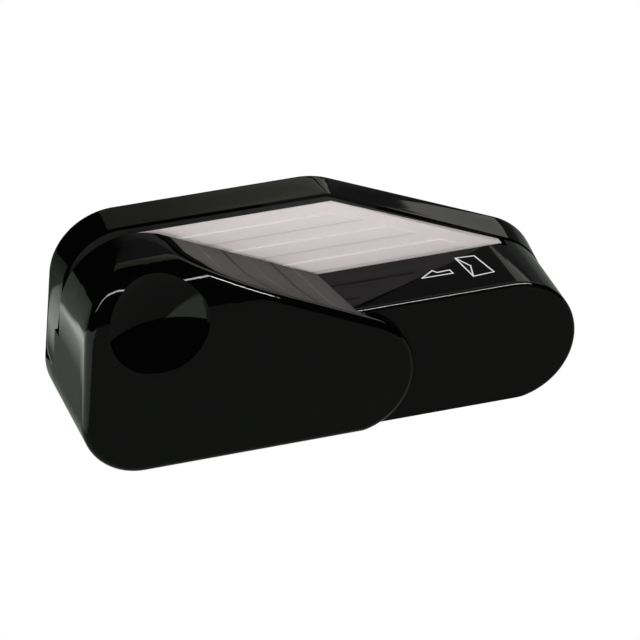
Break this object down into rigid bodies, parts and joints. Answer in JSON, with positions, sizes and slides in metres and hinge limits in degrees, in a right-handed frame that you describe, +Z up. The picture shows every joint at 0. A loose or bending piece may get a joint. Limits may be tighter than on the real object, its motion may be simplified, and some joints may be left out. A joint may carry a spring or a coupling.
{
  "type": "electric letter opener",
  "caption": "Desk machine that trims the edge off envelopes: a ribbed feed plate, a long slot, and a hinged cover with a finger dish over rollers and cutting discs.",
  "frame": {"origin": "middle of the footprint, on the surface that the machine stands on", "axes": "+X along the machine to the right as seen by its user, +Y to the back, +Z up"},
  "size_m": [0.34, 0.094, 0.1486],
  "materials": {
    "gloss_black": "glossy moulded black",
    "shell_black": "semi-gloss moulded black",
    "feed_grey": "matte light grey",
    "print_white": "printed white",
    "inner_black": "matte black",
    "steel_plate": "zinc plated",
    "steel_rod": "ground",
    "blade_steel": "hardened, polished",
    "nylon_gear": "natural nylon",
    "roller_rubber": "ribbed",
    "foot_rubber": "matte",
    "bush_brass": "sintered",
    "motor_steel": "grey",
    "board_green": "lacquered board",
    "part_dark": "moulded",
    "core_iron": "laminated",
    "switch_black": "polished",
    "inlet_black": "moulded"
  },
  "bodies": {
    "housing": {"front_housing": "shell_black", "closing_magnet": "steel_plate", "rear_housing": "gloss_black", "slot_wall": "inner_black", "feed_plate": "feed_grey", "shelf_signs": "print_white", "base_plate": "steel_plate", "rubber_feet": "foot_rubber", "lower_frame_plate": "steel_plate", "upper_frame_plate": "steel_plate", "frame_posts": "steel_rod", "gear_stud": "steel_rod", "shaft_bushes": "bush_brass", "motor_can": "motor_steel", "rear_bracket": "steel_plate", "arm_pivot_pin": "steel_rod", "sensor_pin": "steel_rod", "sensor_switch": "part_dark", "power_inlet": "inlet_black", "inlet_pins": "steel_rod", "rocker_frame": "inlet_black", "transformer": "core_iron", "control_board": "board_green", "board_components": "part_dark", "rear_screws": "steel_rod"},
    "cover": {"front_cover": "gloss_black", "cover_hinge_pins": "steel_rod", "cover_strike_disc": "steel_plate"},
    "exit_roller": {"exit_roller_shaft": "steel_rod", "exit_roller_core": "nylon_gear", "exit_roller_tyre": "roller_rubber", "exit_gear": "nylon_gear", "front_cutting_disc": "blade_steel"},
    "entry_roller": {"entry_roller_shaft": "steel_rod", "entry_roller_core": "nylon_gear", "entry_roller_tyre": "roller_rubber", "entry_gear": "nylon_gear"},
    "compound_gear": {"compound_gear": "nylon_gear"},
    "motor_rotor": {"motor_shaft": "steel_rod", "motor_pinion": "bush_brass"},
    "rear_roller": {"rear_roller_shaft": "steel_rod", "rear_cutting_disc": "blade_steel", "rear_roller_tyre": "roller_rubber"},
    "pressure_arm": {"pressure_arm": "part_dark", "pressure_roller_pin": "steel_rod", "arm_spring": "steel_rod"},
    "pressure_roller": {"pressure_roller": "roller_rubber"},
    "sensor_lever": {"sensor_lever": "part_dark"},
    "power_rocker": {"power_rocker": "switch_black"},
    "chip_drawer": {"chip_drawer": "inner_black"}
  },
  "joints": [
    {"name": "cover_hinge", "type": "hinge", "parent": "housing", "child": "cover", "pos_m": [-0.065, -0.043, 0.006], "axis": [1, 0, 0], "range_deg": [0, 75]},
    {"name": "exit_roller_spin", "type": "hinge", "parent": "housing", "child": "exit_roller", "pos_m": [-0.11794, 0.0026, 0.09], "axis": [0, 0, 1], "continuous": true},
    {"name": "compound_gear_spin", "type": "hinge", "parent": "housing", "child": "compound_gear", "pos_m": [-0.092, 0.008, 0.062], "axis": [0, 0, 1], "continuous": true},
    {"name": "entry_roller_spin", "type": "hinge", "parent": "housing", "child": "entry_roller", "pos_m": [-0.06606, 0.0026, 0.09], "axis": [0, 0, 1], "continuous": true},
    {"name": "motor_spin", "type": "hinge", "parent": "housing", "child": "motor_rotor", "pos_m": [-0.092, -0.014, 0.058], "axis": [0, 0, 1], "continuous": true},
    {"name": "rear_roller_spin", "type": "hinge", "parent": "housing", "child": "rear_roller", "pos_m": [-0.11794, 0.0315, 0.09], "axis": [0, 0, 1], "continuous": true},
    {"name": "pressure_arm_pivot", "type": "hinge", "parent": "housing", "child": "pressure_arm", "pos_m": [-0.092, 0.036, 0.09], "axis": [0, 0, 1], "range_deg": [0, 5], "stiffness_Nm_per_rad": 0.05, "springref_deg": -11.46},
    {"name": "pressure_roller_spin", "type": "hinge", "parent": "pressure_arm", "child": "pressure_roller", "pos_m": [-0.066, 0.0302, 0.09], "axis": [0, 0, 1], "continuous": true},
    {"name": "sensor_lever_pivot", "type": "hinge", "parent": "housing", "child": "sensor_lever", "pos_m": [-0.028, 0.034, 0.0815], "axis": [0, 0, -1], "range_deg": [0, 25], "stiffness_Nm_per_rad": 0.0006, "springref_deg": -17.19},
    {"name": "power_rocker_tilt", "type": "hinge", "parent": "housing", "child": "power_rocker", "pos_m": [0.077, 0.041, 0.0295], "axis": [1, 0, 0], "range_deg": [0, 14]},
    {"name": "chip_drawer_slide", "type": "slide", "parent": "housing", "child": "chip_drawer", "axis": [0, 1, 0], "range_m": [0, 0.036]}
  ],
  "couplings": [
    {"joint": "compound_gear_spin", "follows": "exit_roller_spin", "ratio": -1.0385},
    {"joint": "entry_roller_spin", "follows": "exit_roller_spin", "ratio": 1},
    {"joint": "motor_spin", "follows": "exit_roller_spin", "ratio": 2.7692}
  ]
}
